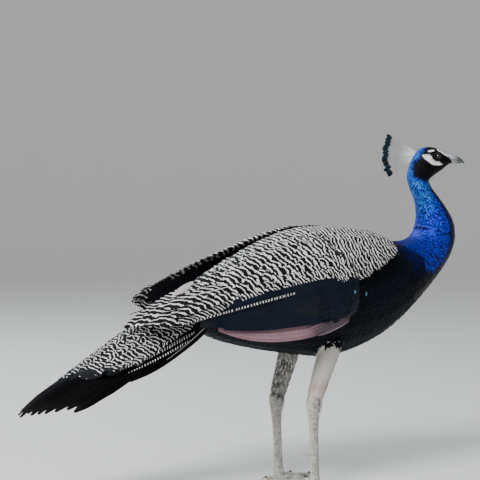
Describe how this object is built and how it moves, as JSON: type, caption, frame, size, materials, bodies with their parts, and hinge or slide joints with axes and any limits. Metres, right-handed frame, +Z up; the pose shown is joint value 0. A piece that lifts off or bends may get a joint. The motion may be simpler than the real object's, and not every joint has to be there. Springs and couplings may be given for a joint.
{
  "type": "indian peacock model",
  "caption": "Life-size still model of a young male Indian peafowl standing, head turned to its right, with folded wings, low tail and fan crest.",
  "frame": {"origin": "on the floor, below the middle of the bird's bounding box", "axes": "+X towards the breast and bill, +Y to the bird's left, +Z up"},
  "size_m": [0.8452, 0.241, 0.6024],
  "materials": {
    "head_plumage": "satin, short dense feathers with bare white skin patches",
    "neck_plumage": "iridescent blue",
    "body_plumage": "matt black with a blue-green gloss",
    "barred_plumage": "matt, buff with wavy dark bars",
    "flight_plumage": "satin black",
    "primary_plumage": "satin chestnut",
    "tail_plumage": "satin dark brown",
    "leg_plumage": "matt buff",
    "leg_skin": "scaled skin",
    "claw_horn": "smooth horn",
    "bill_horn": "smooth horn",
    "eye": "wet gloss",
    "crest_plumage": "pale bare shafts with blue-green tips"
  },
  "bodies": {
    "root": {"bill_lower": "bill_horn", "bill_upper": "bill_horn", "claw_hind_left": "claw_horn", "claw_hind_right": "claw_horn", "claw_inner_left": "claw_horn", "claw_inner_right": "claw_horn", "claw_middle_left": "claw_horn", "claw_middle_right": "claw_horn", "claw_outer_left": "claw_horn", "claw_outer_right": "claw_horn", "crest": "crest_plumage", "eye_left": "eye", "eye_right": "eye", "head": "head_plumage", "neck_lower": "neck_plumage", "neck_upper": "neck_plumage", "spur_left": "claw_horn", "spur_right": "claw_horn", "tail": "tail_plumage", "tail_coverts": "barred_plumage", "tarsus_left": "leg_skin", "tarsus_right": "leg_skin", "thigh_left": "leg_plumage", "thigh_right": "leg_plumage", "toe_hind_left": "leg_skin", "toe_hind_right": "leg_skin", "toe_inner_left": "leg_skin", "toe_inner_right": "leg_skin", "toe_middle_left": "leg_skin", "toe_middle_right": "leg_skin", "toe_outer_left": "leg_skin", "toe_outer_right": "leg_skin", "trunk_front": "body_plumage", "trunk_rear": "body_plumage", "wing_flight_left": "flight_plumage", "wing_flight_right": "flight_plumage", "wing_primaries_left": "primary_plumage", "wing_primaries_right": "primary_plumage", "wing_shield_left": "barred_plumage", "wing_shield_right": "barred_plumage"}
  },
  "joints": []
}
